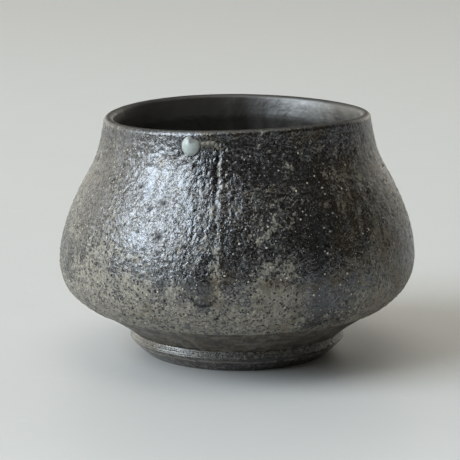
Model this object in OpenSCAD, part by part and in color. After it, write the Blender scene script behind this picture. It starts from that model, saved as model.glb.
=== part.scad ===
// Small tea bowl: a thrown clay body on a ring foot, a coarse outer glaze that stops short of the foot,
// a smooth inner glaze that rolls over the lip, and a bead of melted glass below the rim.
// Millimetres, +Z up. The origin is the centre of the face that rests on the table, and -Y is the front.

/* [Body] */
// Widest diameter, over the glaze
belly_d = 100; // [92:1:110]
// Height of the widest line above the table
belly_h = 27.6; // [24:0.2:32]
// Mean height of the rim above the table
rim_h = 67.5; // [63:0.5:74]
// Diameter of the neck line, over the glaze
neck_d = 82.8; // [78:0.2:88]
// Height of the neck line above the table
neck_h = 52.4; // [48:0.2:56]
// Lean of the wall at the neck line, in degrees from upright
neck_lean = 30.5; // [20:0.5:38]
// Outside diameter of the lip, over the glaze
mouth_d = 74.5; // [68:0.5:78]
// Lean of the wall at the lip, in degrees from upright
lip_lean = 7.5; // [0:0.5:16]
// Flare of the lip's inner side, in degrees from upright
lip_flare = 15; // [0:0.5:20]
// Rise of the underside where it leaves the foot, in degrees from level
underside_rise = 40; // [30:0.5:48]

/* [Fullness of the curves] */
// Reach of the underside's curve from the foot, as a part of its span
underside_reach = 0.45; // [0.3:0.01:0.55]
// Reach of the belly's curve downward, as a part of its span
belly_reach_down = 0.41; // [0.3:0.01:0.5]
// Reach of the belly's curve upward, as a part of its span
belly_reach_up = 0.26; // [0.2:0.01:0.4]
// Reach of the neck's curve downward, as a part of its span
neck_reach_down = 0.39; // [0.25:0.01:0.45]
// Reach of the neck's curve upward, as a part of its span
neck_reach_up = 0.32; // [0.2:0.01:0.45]
// Reach of the lip's curve downward, as a part of its span
lip_reach = 0.35; // [0.2:0.01:0.45]
// Reach of the lip's flare downward inside, as a part of its span
flare_reach = 0.5; // [0.3:0.01:0.55]
// Reach of the inside's curve below the belly, as a part of its span
well_reach = 0.34; // [0.2:0.01:0.4]
// Reach of the floor's level part from the centre, as a part of its span
floor_reach = 0.5; // [0.3:0.01:0.6]

/* [Walls] */
// Thickness of the clay at the lip
lip_t = 2.1; // [1.8:0.1:4]
// Thickness of the clay at the neck line
neck_t = 3.4; // [2.5:0.1:5]
// Thickness of the clay at the widest line
belly_t = 4.4; // [3:0.1:6]
// Thickness of the clay at the centre of the floor
floor_t = 5.2; // [3.5:0.1:7]

/* [Foot] */
// Outside diameter of the foot ring
foot_d = 60.6; // [54:0.2:66]
// Height of the foot ring
foot_h = 6.2; // [5:0.1:9]
// Outside diameter of the face that rests on the table
rest_d = 51.2; // [48:0.2:53]
// Diameter of the hollow inside the ring, at the table
hollow_d = 41; // [34:0.5:43]
// Widening of that hollow from the body down to the table
hollow_draft = 1; // [0:0.1:2]
// Inset of the crease below the body from the ring's widest line
shoulder_w = 0.9; // [0.4:0.1:0.9]
// Height of the ring's shoulder above its widest line, as a part of the ring's height
shoulder_part = 0.3; // [0.2:0.01:0.6]
// Fullness of that shoulder, from 1 for a straight bevel to 2 for a full round
shoulder_fullness = 1.15; // [1.05:0.05:2]
// Fullness of the heel below the widest line, from 1 for a straight bevel to 2 for a full round
heel_fullness = 1.1; // [1.05:0.05:2]
// Bevel of the resting face's inner edge
rest_bevel = 0.5; // [0.2:0.1:1]

/* [Glaze] */
// Thickness of the coarse outer glaze
glaze_t = 0.6; // [0.3:0.05:1]
// Thickness of the smooth inner glaze
lining_t = 0.45; // [0.3:0.05:0.8]
// Height at which the outer glaze stops above the foot
glaze_low_h = 14.2; // [12:0.1:17]
// Depth of the lip band below the lip's rounding, where the inner glaze rolls over to the outside
lip_band = 1.4; // [1.3:0.1:4]
// Width over which a glaze thins out to its edge
edge_w = 0.9; // [0.5:0.1:1.2]

/* [Unevenness of the throwing] */
// Tilt of the body, which lifts the +X side, in degrees
body_tilt = 0.9; // [0:0.1:2]
// Height of the rim's two gentle crests above its mean
rim_wave = 0.5; // [0:0.1:1.2]
// Direction of the first crest from +X, in degrees
rim_wave_turn = -67; // [-180:1:180]

/* [Run and bead] */
// Turn of the glaze run from the front, in degrees, to the left if negative
run_turn = -7.5; // [-60:0.5:60]
// Angle of the strip that the run marks, in degrees
run_sector = 15; // [10:1:24]
// Height of the run's ridge above the glaze
run_ridge = 0.45; // [0:0.05:0.8]
// Depth of the groove beside the ridge
run_groove = 0.3; // [0:0.05:0.35]
// Height above the table at which the run fades out
run_low_h = 18; // [14:0.5:30]
// Turn of the glass bead from the front, in degrees
bead_turn = -18.9; // [-60:0.1:60]
// Width of the glass bead
bead_w = 5; // [3:0.1:7]
// Length of the glass bead down the wall
bead_l = 5.4; // [3:0.1:7]
// Bulge of the glass bead from the wall
bead_rise = 1.5; // [0.5:0.1:2.5]
// Drop of the bead's centre below the mean rim
bead_below = 3.9; // [3.6:0.1:8]
// Gap that keeps the bead's back clear of the glaze
bead_gap = 0.03; // [0.02:0.01:0.1]
// Narrowing of the bead towards its lower end, as a part of its width
bead_taper = 0.06; // [0:0.01:0.3]

/* [Hidden] */
// Angle between neighbouring sections round the bowl, in degrees
section_angle = 7.5;
// Sections inside the strip that the run marks
run_sections = 10;
// Half widths of the run's groove and ridge, and the ridge's offset from the groove, in those sections
groove_half = 1.5;
ridge_half = 2.5;
ridge_offset = 1.5;
// Directions in the profile plane, as [outward, up]
UP = [0, 1];
INWARD = [-1, 0];
// Direction of the front round the bowl, in degrees from +X
FRONT = -90;

// Curves of the profile
function leaning(angle) = [-sin(angle), cos(angle)];
function side_of(heading) = [heading[1], -heading[0]];
function curve(p, leave, reach_p, q, arrive, reach_q) =
    let (span = norm(q - p))
    [p, p + leave * reach_p * span, q - arrive * reach_q * span, q];
function along(c, t) =
    c[0] * pow(1 - t, 3) + 3 * c[1] * t * pow(1 - t, 2) + 3 * c[2] * t * t * (1 - t) + c[3] * pow(t, 3);
function heading(c, t) =
    let (d = (c[1] - c[0]) * pow(1 - t, 2) + 2 * (c[2] - c[1]) * t * (1 - t) + (c[3] - c[2]) * t * t)
    d / norm(d);
function at_height(c, z, low = 0, high = 1, halvings = 30) =
    let (mid = (low + high) / 2)
    halvings == 0 ? mid
    : along(c, mid)[1] < z ? at_height(c, z, mid, high, halvings - 1)
    : at_height(c, z, low, mid, halvings - 1);
function part_of(c, length) = length / norm(c[3] - c[0]);
function steps(from, to, count) = [for (i = [1 : count]) from + (to - from) * i / count];

// Points that the profile passes through, on the bare clay
foot_point = [foot_d / 2 - shoulder_w, foot_h];
belly_point = [belly_d / 2 - glaze_t, belly_h];
neck_side = side_of(leaning(neck_lean));
neck_point = [neck_d / 2, neck_h] - glaze_t * neck_side;
lip_side = side_of(leaning(lip_lean));
lip_centre = [mouth_d / 2 - lining_t - lip_t / 2, rim_h - lining_t - lip_t / 2];
lip_point = lip_centre + lip_t / 2 * lip_side;
floor_centre = [0, foot_h + floor_t];
base_centre = [0, foot_h];

// Outside and inside curves of the bare clay
underside = curve(foot_point, [cos(underside_rise), sin(underside_rise)], underside_reach,
                  belly_point, UP, belly_reach_down);
shoulder = curve(belly_point, UP, belly_reach_up, neck_point, leaning(neck_lean), neck_reach_down);
collar = curve(neck_point, leaning(neck_lean), neck_reach_up, lip_point, leaning(lip_lean), lip_reach);
flare_side = [-cos(lip_flare), sin(lip_flare)];
inner_lip = lip_centre + lip_t / 2 * flare_side;
inner_neck = neck_point - neck_t * neck_side;
inner_belly = belly_point - [belly_t, 0];
inner_collar = curve(inner_lip, -leaning(-lip_flare), flare_reach,
                     inner_neck, -leaning(neck_lean), neck_reach_up);
inner_shoulder = curve(inner_neck, -leaning(neck_lean), neck_reach_down, inner_belly, -UP, belly_reach_up);
well = curve(inner_belly, -UP, well_reach, floor_centre, INWARD, floor_reach);

// Places along the curves where the glazes end and thin out
low_edge = at_height(underside, glaze_low_h);
low_full = low_edge + part_of(underside, edge_w);
band_edge = at_height(collar, lip_point[1] - lip_band);
band_full = band_edge - part_of(collar, edge_w);
lining_full = band_edge + part_of(collar, edge_w);
// Part of a glaze's edge width at which its first rounded step lies
thin = 0.25;

// Places on the outer curves, with the glaze's cover there from 0 to 1
edge_cover = sqrt(1 - pow(1 - thin, 2));
bare_places = concat([0], steps(0, low_edge, 2));
low_places = concat([low_edge + thin * (low_full - low_edge), low_full], steps(low_full, 1, 6));
collar_places = concat(steps(0, band_full, 2), [band_edge - thin * (band_edge - band_full)]);
rolled_places = [band_edge + thin * (lining_full - band_edge), lining_full, 1];

// Stations are [point, outward direction, cover]
function station(c, t, cover) = [along(c, t), side_of(heading(c, t)), cover];
bare_stations = [for (t = bare_places) station(underside, t, 0)];
glazed_stations = concat(
    [for (i = [0 : len(low_places) - 1]) station(underside, low_places[i], i == 0 ? edge_cover : 1)],
    [for (t = steps(0, 1, 7)) station(shoulder, t, 1)],
    [for (i = [0 : len(collar_places) - 1])
        station(collar, collar_places[i], i == len(collar_places) - 1 ? edge_cover : 1)]);
band_station = [station(collar, band_edge, 0)];
lip_stations = [for (a = steps(lip_lean, 180 - lip_flare, 5))
    let (d = [cos(a), sin(a)])
    [lip_centre + lip_t / 2 * d, d, 1]];
lined_stations = concat(
    [for (i = [0 : len(rolled_places) - 1]) station(collar, rolled_places[i], i == 0 ? edge_cover : 1)],
    lip_stations,
    [for (t = steps(0, 1, 4)) station(inner_collar, t, 1)],
    [for (t = steps(0, 1, 4)) station(inner_shoulder, t, 1)],
    [for (t = steps(0, 1, 7)) station(well, t, 1)]);
low_station = [bare_stations[len(bare_stations) - 1]];

// Sections round the bowl, closer together where the run marks it
run_angle = FRONT + run_turn;
plain_sections = round((360 - run_sector) / section_angle);
sections = concat(
    [for (i = [0 : plain_sections - 1])
        run_angle + run_sector / 2 + i * (360 - run_sector) / plain_sections],
    [for (i = [0 : run_sections - 1]) run_angle - run_sector / 2 + i * run_sector / run_sections]);
section_count = len(sections);

// Unevenness of the throwing: a tilt that starts at the foot and a rim that waves
function part_way(z, from, to) = max(0, min(1, (z - from) / (to - from)));
function uneven(p, a) =
    let (tilt = tan(body_tilt) * p[0] * cos(a) * part_way(p[1], foot_h, belly_h))
    let (wave = rim_wave * cos(2 * (a - rim_wave_turn)) * pow(part_way(p[1], belly_h, rim_h), 2))
    [p[0] * cos(a), p[0] * sin(a), p[1] + tilt + wave];

// Relief of the run: a groove on its line and a ridge just to the right of it
function bump(x) = abs(x) < 1 ? (1 + cos(180 * x)) / 2 : 0;
function run_relief(p, a) =
    let (turn = (a - run_angle) * run_sections / run_sector)
    let (fade = part_way(p[1], run_low_h, neck_h))
    fade * (run_ridge * bump((turn - ridge_offset) / ridge_half) - run_groove * bump(turn / groove_half));

// A surface point at one station and section, lifted off the clay by a glaze
function skin(s, a, coat, relief) =
    uneven(s[0] + s[1] * s[2] * (coat + relief * run_relief(s[0], a)), a);

// A closed solid between two sheets of stations that share their first ring.
// Each sheet ends on the axis, or both end on one last ring that they share.
module thrown(front, back, coat = 0, relief = 0) {
    n = section_count;
    front_last = len(front) - 1;
    back_last = len(back) - 1;
    on_axis = front[front_last][0][0] == 0;
    front_rings = [for (i = [0 : on_axis ? front_last - 1 : front_last]) i];
    back_rings = [for (i = [1 : 1 : back_last - 1]) i];
    back_start = len(front_rings) * n;
    front_pole = back_start + len(back_rings) * n;
    points = concat(
        [for (i = front_rings) for (a = sections) skin(front[i], a, coat, relief)],
        [for (i = back_rings) for (a = sections) uneven(back[i][0], a)],
        on_axis ? [uneven(front[front_last][0] + coat * UP, 0), uneven(back[back_last][0], 0)] : []);
    function front_id(i, k) = i * n + k % n;
    function back_id(i, k) =
        i == 0 ? k % n
        : i == back_last ? front_id(front_last, k)
        : back_start + (i - 1) * n + k % n;
    front_panels = on_axis ? front_last - 1 : front_last;
    back_panels = on_axis ? back_last - 1 : back_last;
    faces = concat(
        [for (i = [0 : 1 : front_panels - 1]) for (k = [0 : n - 1]) for (h = [0, 1])
            h == 0 ? [front_id(i, k), front_id(i + 1, k), front_id(i + 1, k + 1)]
            : [front_id(i, k), front_id(i + 1, k + 1), front_id(i, k + 1)]],
        [for (i = [0 : 1 : back_panels - 1]) for (k = [0 : n - 1]) for (h = [0, 1])
            h == 0 ? [back_id(i, k), back_id(i + 1, k + 1), back_id(i + 1, k)]
            : [back_id(i, k), back_id(i, k + 1), back_id(i + 1, k + 1)]],
        !on_axis ? []
        : [for (k = [0 : n - 1]) for (h = [0, 1])
            h == 0 ? [front_id(front_last - 1, k), front_pole, front_id(front_last - 1, k + 1)]
            : [back_id(back_last - 1, k), back_id(back_last - 1, k + 1), front_pole + 1]]);
    polyhedron(points, faces, convexity = 8);
}

// Wall, floor and lip of the bowl in bare clay, with a flat base for the foot
module clay_body() {
    outside = concat(bare_stations, glazed_stations, band_station);
    color("rosybrown")
        thrown(concat(outside, lined_stations), [bare_stations[0], [base_centre, -UP, 0]]);
}

// Ring under the body, hollow in the middle, that stands on a flat face
module foot_ring() {
    heel_w = (foot_d - rest_d) / 2;
    heel_power = 2 / heel_fullness;
    shoulder_power = 2 / shoulder_fullness;
    shoulder_h = shoulder_part * foot_h;
    widest_h = foot_h - shoulder_h;
    arc_steps = 6;
    profile = concat(
        [[hollow_d / 2 - hollow_draft, foot_h]],
        [for (i = [0 : arc_steps])
            let (a = 90 - 90 * i / arc_steps)
            [foot_d / 2 - shoulder_w * (1 - pow(cos(a), shoulder_power)),
             widest_h + shoulder_h * pow(sin(a), shoulder_power)]],
        [for (i = [1 : arc_steps])
            let (a = 90 * i / arc_steps)
            [rest_d / 2 + heel_w * pow(cos(a), heel_power), widest_h * (1 - pow(sin(a), heel_power))]],
        [[hollow_d / 2 + rest_bevel, 0], [hollow_d / 2, rest_bevel]]);
    color("saddlebrown")
        rotate_extrude($fn = 96)
            polygon(profile);
}

// Coarse outer glaze, from the bare band above the foot to the lip band
module outer_glaze() {
    sheet = concat(low_station, glazed_stations, band_station);
    color("dimgray")
        thrown(sheet, sheet, glaze_t, 1);
}

// Smooth inner glaze, from the floor over the lip to the lip band
module inner_glaze() {
    sheet = concat(band_station, lined_stations);
    color("black")
        thrown(sheet, sheet, lining_t);
}

// Bead of melted glass that hangs on the wall just below the lip
module glass_bead() {
    around = 20;
    rings = [0.45, 0.75, 0.92];
    centre = at_height(collar, rim_h - bead_below);
    seat = glaze_t + bead_gap;
    function spot(part, a, lift) =
        let (t = centre + part_of(collar, part * sin(a) * bead_l / 2))
        let (across = part * cos(a) * bead_w / 2 * (1 + bead_taper * sin(a)))
        let (p = along(collar, t) + lift * side_of(heading(collar, t)))
        uneven(p, FRONT + bead_turn + across / p[0] * 180 / PI);
    function dome(part) = seat + bead_rise * sqrt(1 - part * part);
    points = concat(
        [for (part = rings) for (k = [0 : around - 1]) spot(part, 360 * k / around, dome(part))],
        [for (k = [0 : around - 1]) spot(1, 360 * k / around, seat)],
        [for (k = [0 : around - 1]) spot(rings[0], 360 * k / around, seat)],
        [spot(0, 0, dome(0)), spot(0, 0, seat)]);
    edge_ring = len(rings);
    front_pole = (edge_ring + 2) * around;
    function id(i, k) = i * around + k % around;
    faces = concat(
        [for (i = [0 : edge_ring]) for (k = [0 : around - 1]) for (h = [0, 1])
            h == 0 ? [id(i, k), id(i, k + 1), id(i + 1, k + 1)]
            : [id(i, k), id(i + 1, k + 1), id(i + 1, k)]],
        [for (k = [0 : around - 1]) for (h = [0, 1])
            h == 0 ? [id(0, k), front_pole, id(0, k + 1)]
            : [id(edge_ring + 1, k), id(edge_ring + 1, k + 1), front_pole + 1]]);
    color("palegreen")
        polyhedron(points, faces, convexity = 4);
}

clay_body();
foot_ring();
outer_glaze();
inner_glaze();
glass_bead();
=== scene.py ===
import math

import bpy
import numpy as np
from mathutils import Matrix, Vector


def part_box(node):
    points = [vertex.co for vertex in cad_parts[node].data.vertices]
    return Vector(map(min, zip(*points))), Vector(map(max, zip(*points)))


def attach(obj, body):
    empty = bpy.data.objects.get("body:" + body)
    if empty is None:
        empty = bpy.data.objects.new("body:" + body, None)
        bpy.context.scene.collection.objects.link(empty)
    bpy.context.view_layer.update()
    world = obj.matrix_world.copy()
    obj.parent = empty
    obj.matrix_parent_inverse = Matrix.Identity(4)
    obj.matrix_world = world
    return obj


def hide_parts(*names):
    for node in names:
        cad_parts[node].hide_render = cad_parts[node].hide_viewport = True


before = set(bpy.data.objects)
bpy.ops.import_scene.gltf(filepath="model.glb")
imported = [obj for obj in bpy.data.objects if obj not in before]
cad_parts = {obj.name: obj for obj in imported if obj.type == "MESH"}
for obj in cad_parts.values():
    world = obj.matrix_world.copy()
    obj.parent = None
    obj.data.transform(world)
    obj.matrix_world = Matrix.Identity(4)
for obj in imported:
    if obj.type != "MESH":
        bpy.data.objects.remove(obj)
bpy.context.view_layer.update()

bl_info = {
    "name": "Tea Bowl Surfaces",
    "version": (1, 0, 0),
    "blender": (4, 5, 0),
    "location": "3D View > Sidebar > Tea Bowl",
    "description": "Builds the clay, glazes and glass bead of a hand-thrown tea bowl on its solid model",
    "category": "Add Mesh",
}

MM = 0.001
# Direction of the bowl's front, in degrees
FRONT = -90.0
GLAZE_LOW, GLAZE_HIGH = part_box("outer_glaze")
FOOT_LOW, FOOT_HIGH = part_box("foot_ring")


def length(text, millimetres):
    """A length property with its default in millimetres."""
    return bpy.props.FloatProperty(name=text, default=millimetres * MM, unit="LENGTH", precision=5)


def angle(text, degrees):
    """An angle property with its default in degrees."""
    return bpy.props.FloatProperty(name=text, default=math.radians(degrees), unit="ROTATION")


def share(text, value):
    """A plain factor."""
    return bpy.props.FloatProperty(name=text, default=value, subtype="FACTOR")


def count(text, value):
    """A whole number."""
    return bpy.props.IntProperty(name=text, default=value, min=1)


def colour(text, rgb):
    """A linear colour."""
    return bpy.props.FloatVectorProperty(
        name=text, default=rgb, size=3, subtype="COLOR", min=0.0, max=1.0)


class BowlSizes(bpy.types.PropertyGroup):
    """Sizes of the thrown form, the same as in the solid model"""
    belly_d: length("Widest diameter over the glaze", (GLAZE_HIGH.x - GLAZE_LOW.x) / MM)
    belly_h: length("Height of the widest line", 27.6)
    rim_h: length("Mean height of the rim", 67.5)
    neck_d: length("Diameter of the neck line over the glaze", 82.8)
    neck_h: length("Height of the neck line", 52.4)
    neck_lean: angle("Lean of the wall at the neck line", 30.5)
    mouth_d: length("Outside diameter of the lip", 74.5)
    lip_lean: angle("Lean of the wall at the lip", 7.5)
    underside_rise: angle("Rise of the underside at the foot", 40.0)
    lip_flare: angle("Flare of the lip's inner side from upright", 15.0)
    lip_t: length("Thickness of the clay at the lip", 2.1)
    neck_t: length("Thickness of the clay at the neck line", 3.4)
    belly_t: length("Thickness of the clay at the widest line", 4.4)
    floor_t: length("Thickness of the clay at the floor's centre", 5.2)
    foot_d: length("Outside diameter of the foot ring", (FOOT_HIGH.x - FOOT_LOW.x) / MM)
    foot_h: length("Height of the foot ring", FOOT_HIGH.z / MM)
    rest_d: length("Outside diameter of the resting face", 51.2)
    hollow_d: length("Diameter of the hollow at the table", 41.0)
    hollow_draft: length("Widening of the hollow towards the table", 1.0)
    shoulder_w: length("Inset of the crease from the ring's widest line", 0.9)
    shoulder_part: share("Height of the ring's shoulder, as a part of the ring's", 0.3)
    shoulder_fullness: share("Fullness of the shoulder, from 1 for a bevel to 2 for a full round", 1.15)
    heel_fullness: share("Fullness of the heel, from 1 for a bevel to 2 for a full round", 1.1)
    rest_bevel: length("Bevel of the resting face's inner edge", 0.5)
    glaze_t: length("Thickness of the coarse outer glaze", 0.6)
    lining_t: length("Thickness of the smooth inner glaze", 0.45)
    glaze_low_h: length("Height at which the outer glaze stops", 14.2)
    lip_band: length("Depth of the lip band below the lip's rounding", 1.4)
    edge_w: length("Width over which a glaze thins out", 0.9)
    seam_t: length("Thickness of both glazes where they meet below the lip", 0.385)
    seam_w: length("Width over which a glaze thins out to the seam", 1.4)
    body_tilt: angle("Tilt of the body towards its left side", 0.9)
    rim_wave: length("Height of the rim's crests above its mean", 0.5)
    rim_wave_turn: angle("Direction of the rim's first crest", -67.0)
    run_turn: angle("Turn of the glaze run from the front", -7.5)
    bead_turn: angle("Turn of the glass bead from the front", -18.9)
    bead_w: length("Width of the glass bead", 5.0)
    bead_l: length("Length of the glass bead", 5.4)
    bead_rise: length("Bulge of the glass bead from the wall", 1.5)
    bead_below: length("Drop of the bead's centre below the mean rim", 3.9)
    bead_gap: length("Gap behind the glass bead", 0.03)
    bead_taper: share("Narrowing of the bead towards its lower end", 0.06)


class BowlRelief(bpy.types.PropertyGroup):
    """Relief of the surfaces"""
    sink: length("How far the outer glaze's mean surface lies under the solid's", 0.17)
    lump_h: length("Height of the outer glaze's broad lumps", 0.07)
    lump_size: length("Size of the outer glaze's broad lumps", 4.5)
    grain_h: length("Height of the outer glaze's coarse grains", 0.09)
    grain_size: length("Size of the outer glaze's coarse grains", 1.3)
    pit_depth: length("Depth of the outer glaze's pits", 0.22)
    pit_spacing: length("Mean distance between the pits", 2.7)
    run_groove: length("Depth of the groove beside the run", 0.3)
    run_ridge: length("Height of the run's ridge", 0.12)
    drip_h: length("Height of the small drips", 0.1)
    blister_h: length("Depth of the burst blisters, and height of the lumps of ash", 0.15)
    edge_wave: length("Waviness of the outer glaze's lower edge", 0.3)
    throwing_h: length("Height of the throwing rings in the lining", 0.05)
    trim_depth: length("Depth of the trimming marks on the foot", 0.05)
    spiral_h: length("Height of the trimming spiral in the foot's hollow", 0.06)
    foot_dent: length("Depth of the foot ring's broad dents", 0.12)
    grit_count: count("Grains of quartz in each square decimetre", 2200)
    grit_least: length("Least radius of a grain of quartz", 0.09)
    grit_most: length("Largest radius of a grain of quartz", 0.4)
    seed: count("Seed of everything that is scattered", 7)


class BowlColours(bpy.types.PropertyGroup):
    """Colours of the clay, the glazes and the glass"""
    iron_dark: colour("Darkest part of the outer glaze", (0.055, 0.055, 0.056))
    iron_grey: colour("Lighter part of the outer glaze", (0.188, 0.19, 0.195))
    iron_blue: colour("Bluish streaks of the outer glaze", (0.175, 0.186, 0.203))
    ash: colour("Ash grains of the outer glaze", (0.352, 0.326, 0.266))
    ochre: colour("Rusty tint of the outer glaze", (0.152, 0.115, 0.06))
    drip: colour("Smooth dark drips", (0.062, 0.064, 0.068))
    quartz: colour("Pale grains of quartz", (0.55, 0.51, 0.43))
    lining: colour("Inner glaze", (0.011, 0.0096, 0.0076))
    lip: colour("Inner glaze where it breaks over the lip", (0.024, 0.023, 0.022))
    clay: colour("Bare clay band", (0.2, 0.177, 0.145))
    slip: colour("Dark slip of the foot", (0.035, 0.031, 0.026))
    glass: colour("Pale green of the bead", (0.44, 0.49, 0.475))
    table: colour("Pale table top", (0.59, 0.595, 0.596))


class StudioSetup(bpy.types.PropertyGroup):
    """Camera and lights"""
    aim_x: length("Sideways place of the point that the camera looks at", -1.97)
    aim_z: length("Height of the point that the camera looks at", 34.0)
    distance: length("Distance of the camera from that point", 584.1)
    elevation: angle("Height of the camera above level", 11.3)
    lens: bpy.props.FloatProperty(name="Focal length in millimetres", default=162.46, unit="CAMERA")
    window_turn: angle("Turn of the main light to the left of the camera", 67.0)
    window_rise: angle("Height of the main light above level", 34.0)
    window_distance: length("Distance of the main light from the bowl", 3200.0)
    window_w: length("Width of the main light", 2500.0)
    window_h: length("Height of the main light's own face", 2400.0)
    window_tint: colour("Colour of the main light", (0.84, 0.93, 1.0))
    window_power: bpy.props.FloatProperty(name="Power of the main light", default=122.0, unit="POWER")
    room: bpy.props.FloatProperty(name="Strength of the light from the room", default=1.5)


def bowl_sizes():
    return bpy.context.scene.tea_bowl_sizes


def bowl_relief():
    return bpy.context.scene.tea_bowl_relief


def studio_setup():
    return bpy.context.scene.tea_bowl_studio


# Thrown form

CURVE_POINTS = 500
# How far a curve holds the direction of each end, as a share of its span, the same as in the solid model
UNDERSIDE_REACH = 0.45
BELLY_REACH_DOWN = 0.41
BELLY_REACH_UP = 0.26
NECK_REACH_DOWN = 0.39
NECK_REACH_UP = 0.32
LIP_REACH = 0.35
FLARE_REACH = 0.5
WELL_REACH = 0.34
FLOOR_REACH = 0.5


def held(value):
    """A value held between 0 and 1."""
    return np.clip(value, 0.0, 1.0)


def bell(distance):
    """1 at no distance, falling off softly to both sides."""
    return np.exp(-distance ** 2)


def whole_turn(number):
    """Angles evenly spaced round a circle."""
    return np.linspace(0.0, 2 * math.pi, number, endpoint=False)


def angle_from(theta, direction):
    """Angles from a direction, at most half a turn to either side."""
    return (theta - direction + math.pi) % (2 * math.pi) - math.pi


def steps_along(stops, numbers):
    """Places from the first stop to the last, with a number of them from each stop to the next."""
    parts = [np.linspace(*ends) for ends in zip(stops[:-1], stops[1:], numbers)]
    return np.concatenate([parts[0]] + [part[1:] for part in parts[1:]])


def leaning(lean):
    """Direction of a wall that leans inwards on its way up."""
    return np.array([-math.sin(lean), math.cos(lean)])


def side_of(heading):
    """Direction square to a heading, on its outer side."""
    return np.array([heading[1], -heading[0]])


def unit(vectors):
    """Vectors brought to a length of 1."""
    return vectors / np.linalg.norm(vectors, axis=1, keepdims=True)


def curve(start, leave, reach_start, end, arrive, reach_end):
    """Points of a curve between two ends, with its direction and reach at each."""
    span = np.linalg.norm(end - start)
    first = start + leave * reach_start * span
    second = end - arrive * reach_end * span
    t = np.linspace(0.0, 1.0, CURVE_POINTS)[:, None]
    return start * (1 - t) ** 3 + 3 * first * t * (1 - t) ** 2 + 3 * second * t * t * (1 - t) + end * t ** 3


class Outline:
    """Bare clay's outline, from the foot up the outside, over the lip and down to the floor's centre.

    Places on it are given as lengths along it, in metres.
    """

    def __init__(self, bowl):
        self.bowl = bowl
        stretches = self.stretches()
        self.points = np.vstack([stretches[0]] + [points[1:] for points in stretches[1:]])
        step = np.linalg.norm(np.diff(self.points, axis=0), axis=1)
        self.places = np.concatenate([[0.0], np.cumsum(step)])
        heading = unit(np.gradient(self.points, self.places, axis=0))
        self.sides = np.stack([heading[:, 1], -heading[:, 0]], axis=1)
        ends = self.places[np.arange(len(stretches) + 1) * (CURVE_POINTS - 1)]
        belly, self.neck, self.lip, self.lip_end = ends[1:5]
        self.total = ends[-1]
        under = self.places <= belly
        self.low_edge = np.interp(bowl.glaze_low_h, self.points[under, 1], self.places[under])
        self.band_edge = self.on_collar(self.at(self.lip)[1] - bowl.lip_band)
        self.bead = self.on_collar(bowl.rim_h - bowl.bead_below)

    def stretches(self):
        """Points of the underside, shoulder, collar, lip, inner collar, inner shoulder and well."""
        bowl = self.bowl
        up = np.array([0.0, 1.0])
        inward = np.array([-1.0, 0.0])
        rise = np.array([math.cos(bowl.underside_rise), math.sin(bowl.underside_rise)])
        at_neck = leaning(bowl.neck_lean)
        at_lip = leaning(bowl.lip_lean)
        foot = np.array([bowl.foot_d / 2 - bowl.shoulder_w, bowl.foot_h])
        belly = np.array([bowl.belly_d / 2 - bowl.glaze_t, bowl.belly_h])
        neck = np.array([bowl.neck_d / 2, bowl.neck_h]) - bowl.glaze_t * side_of(at_neck)
        lip_centre = np.array([bowl.mouth_d / 2, bowl.rim_h]) - bowl.lining_t - bowl.lip_t / 2
        lip = lip_centre + bowl.lip_t / 2 * side_of(at_lip)
        flare_side = np.array([-math.cos(bowl.lip_flare), math.sin(bowl.lip_flare)])
        inner_lip = lip_centre + bowl.lip_t / 2 * flare_side
        inner_neck = neck - bowl.neck_t * side_of(at_neck)
        inner_belly = belly - np.array([bowl.belly_t, 0.0])
        floor = np.array([0.0, bowl.foot_h + bowl.floor_t])
        turn = np.linspace(bowl.lip_lean, math.pi - bowl.lip_flare, CURVE_POINTS)[:, None]
        return [
            curve(foot, rise, UNDERSIDE_REACH, belly, up, BELLY_REACH_DOWN),
            curve(belly, up, BELLY_REACH_UP, neck, at_neck, NECK_REACH_DOWN),
            curve(neck, at_neck, NECK_REACH_UP, lip, at_lip, LIP_REACH),
            lip_centre + bowl.lip_t / 2 * np.hstack([np.cos(turn), np.sin(turn)]),
            curve(inner_lip, -leaning(-bowl.lip_flare), FLARE_REACH, inner_neck, -at_neck, NECK_REACH_UP),
            curve(inner_neck, -at_neck, NECK_REACH_DOWN, inner_belly, -up, BELLY_REACH_UP),
            curve(inner_belly, -up, WELL_REACH, floor, inward, FLOOR_REACH),
        ]

    def on_collar(self, height):
        """Places on the outside between the neck and the lip, at heights."""
        collar = (self.places >= self.neck) & (self.places <= self.lip)
        return np.interp(height, self.points[collar, 1], self.places[collar])

    def at(self, place):
        """Radius, height, and the outward direction there."""
        return [np.interp(place, self.places, column)
                for column in (self.points[:, 0], self.points[:, 1], self.sides[:, 0], self.sides[:, 1])]

    def skin(self, place, theta, lift=0.0):
        """Points on the thrown surface at a place and an angle, lifted off the clay."""
        r, z, side_r, side_z = self.at(place)
        return self.uneven(r + side_r * lift, z + side_z * lift, theta)

    def uneven(self, r, z, theta):
        """The throwing's tilt and the rim's wave."""
        bowl = self.bowl
        above_foot = held((z - bowl.foot_h) / (bowl.belly_h - bowl.foot_h))
        near_rim = held((z - bowl.belly_h) / (bowl.rim_h - bowl.belly_h)) ** 2
        tilt = math.tan(bowl.body_tilt) * r * np.cos(theta) * above_foot
        wave = bowl.rim_wave * np.cos(2 * (theta - bowl.rim_wave_turn)) * near_rim
        r, z, theta = np.broadcast_arrays(r, z + tilt + wave, theta)
        return np.stack([r * np.cos(theta), r * np.sin(theta), z], axis=-1)


def rolled(distance, edge):
    """Cover of a coat at a distance from its edge, rising as a quarter round."""
    return np.sqrt(1 - (1 - held(distance / edge)) ** 2)


def ring_quads(low, high, number):
    """Quads between two rings with a number of points each, given by their first points."""
    here = np.arange(number)
    after = (here + 1) % number
    return np.stack([low + here, low + after, high + after, high + here], axis=1)


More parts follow.
